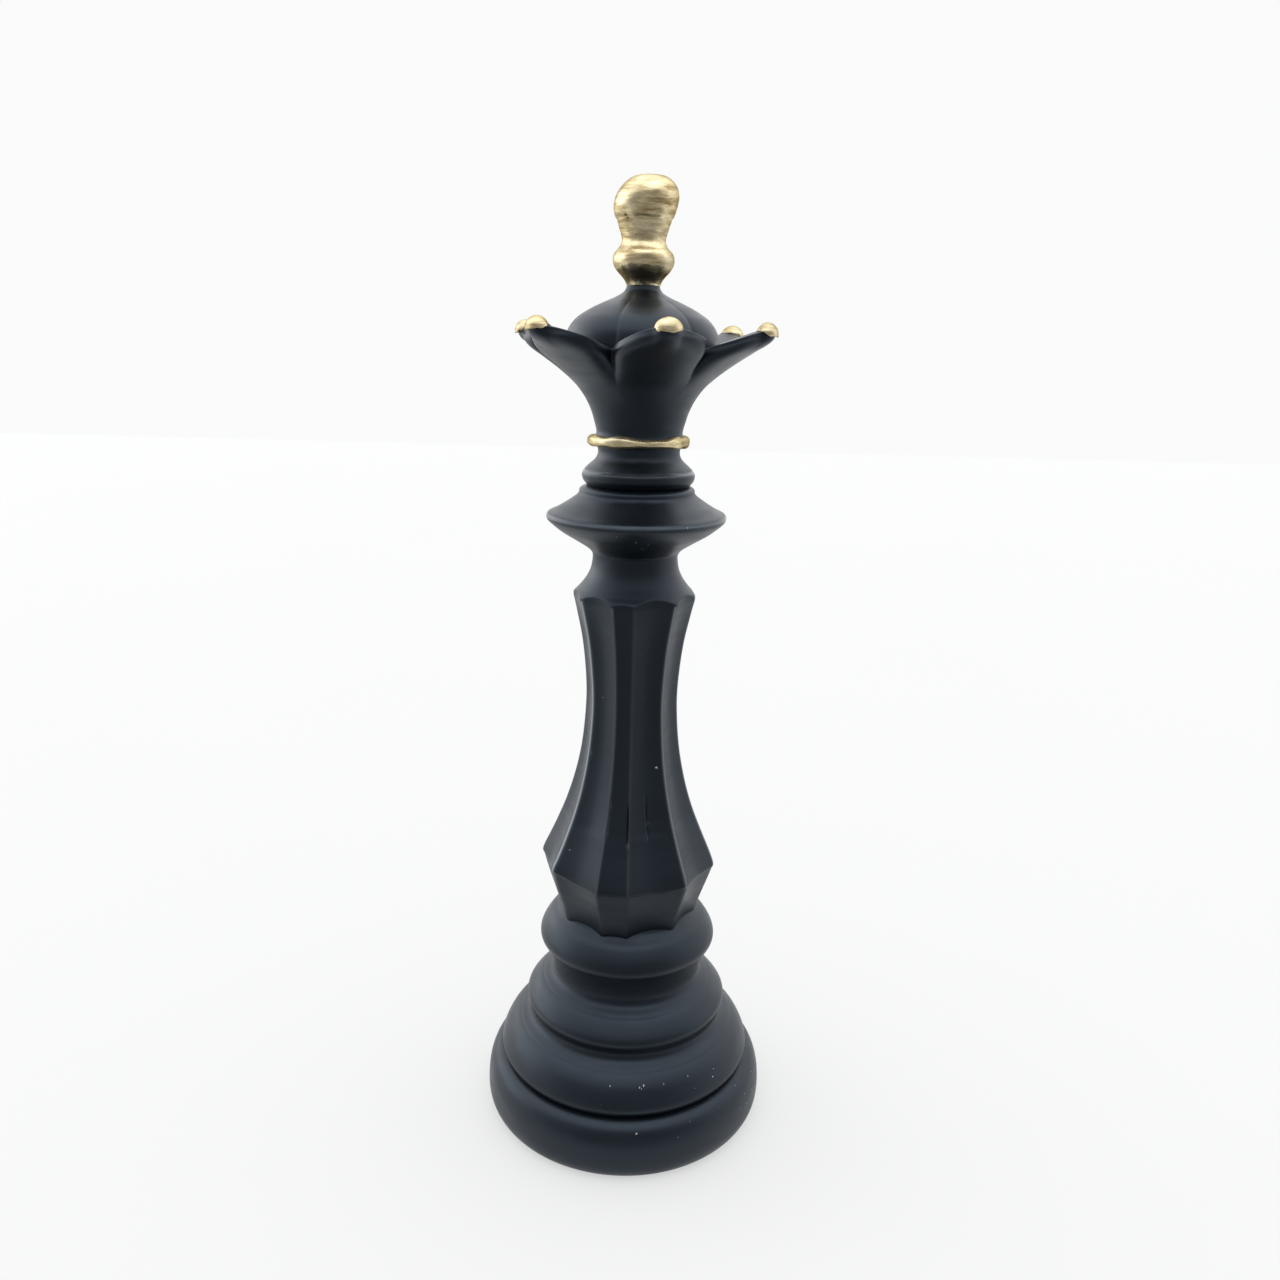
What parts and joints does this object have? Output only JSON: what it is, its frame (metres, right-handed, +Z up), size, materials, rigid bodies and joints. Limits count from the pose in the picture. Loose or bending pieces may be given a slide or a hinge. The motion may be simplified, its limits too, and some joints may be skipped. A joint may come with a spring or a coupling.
{
  "type": "ornamental chess queen",
  "caption": "Tall ornamental chess queen with a stepped round base, fluted column, collared neck, pointed crown and knob finial, standing on a felt pad.",
  "frame": {"origin": "on the queen's axis, at the underside of the felt pad", "axes": "+Z up along the queen's axis; -Y points to one of the six crown points, the one nearest the viewer"},
  "size_m": [0.1036, 0.1036, 0.33],
  "materials": {
    "black_resin": "satin black paint on cast resin, rubbed a little lighter on its edges",
    "gold_paint": "hand-brushed champagne gold paint",
    "zinc_steel": "zinc-plated steel",
    "cast_iron": "rough cast iron",
    "fibreboard": "bare fibreboard",
    "felt": "black wool felt"
  },
  "bodies": {
    "root": {"foot_ring": "black_resin", "lower_tier": "black_resin", "upper_tier": "black_resin", "torus_ring": "black_resin", "fluted_column": "black_resin", "saucer_collar": "black_resin", "bead_collar": "black_resin", "crown_cup": "black_resin", "crown_dome": "black_resin", "neck_ring": "gold_paint", "finial": "gold_paint", "crown_tip_1": "gold_paint", "crown_tip_2": "gold_paint", "crown_tip_3": "gold_paint", "crown_tip_4": "gold_paint", "crown_tip_5": "gold_paint", "crown_tip_6": "gold_paint", "tie_rod": "zinc_steel", "lower_nut": "zinc_steel", "lower_washer": "zinc_steel", "upper_nut": "zinc_steel", "upper_washer": "zinc_steel", "finial_stud": "zinc_steel", "finial_nut": "zinc_steel", "ballast_weight": "cast_iron", "base_plate": "fibreboard", "felt_pad": "felt"}
  },
  "joints": []
}
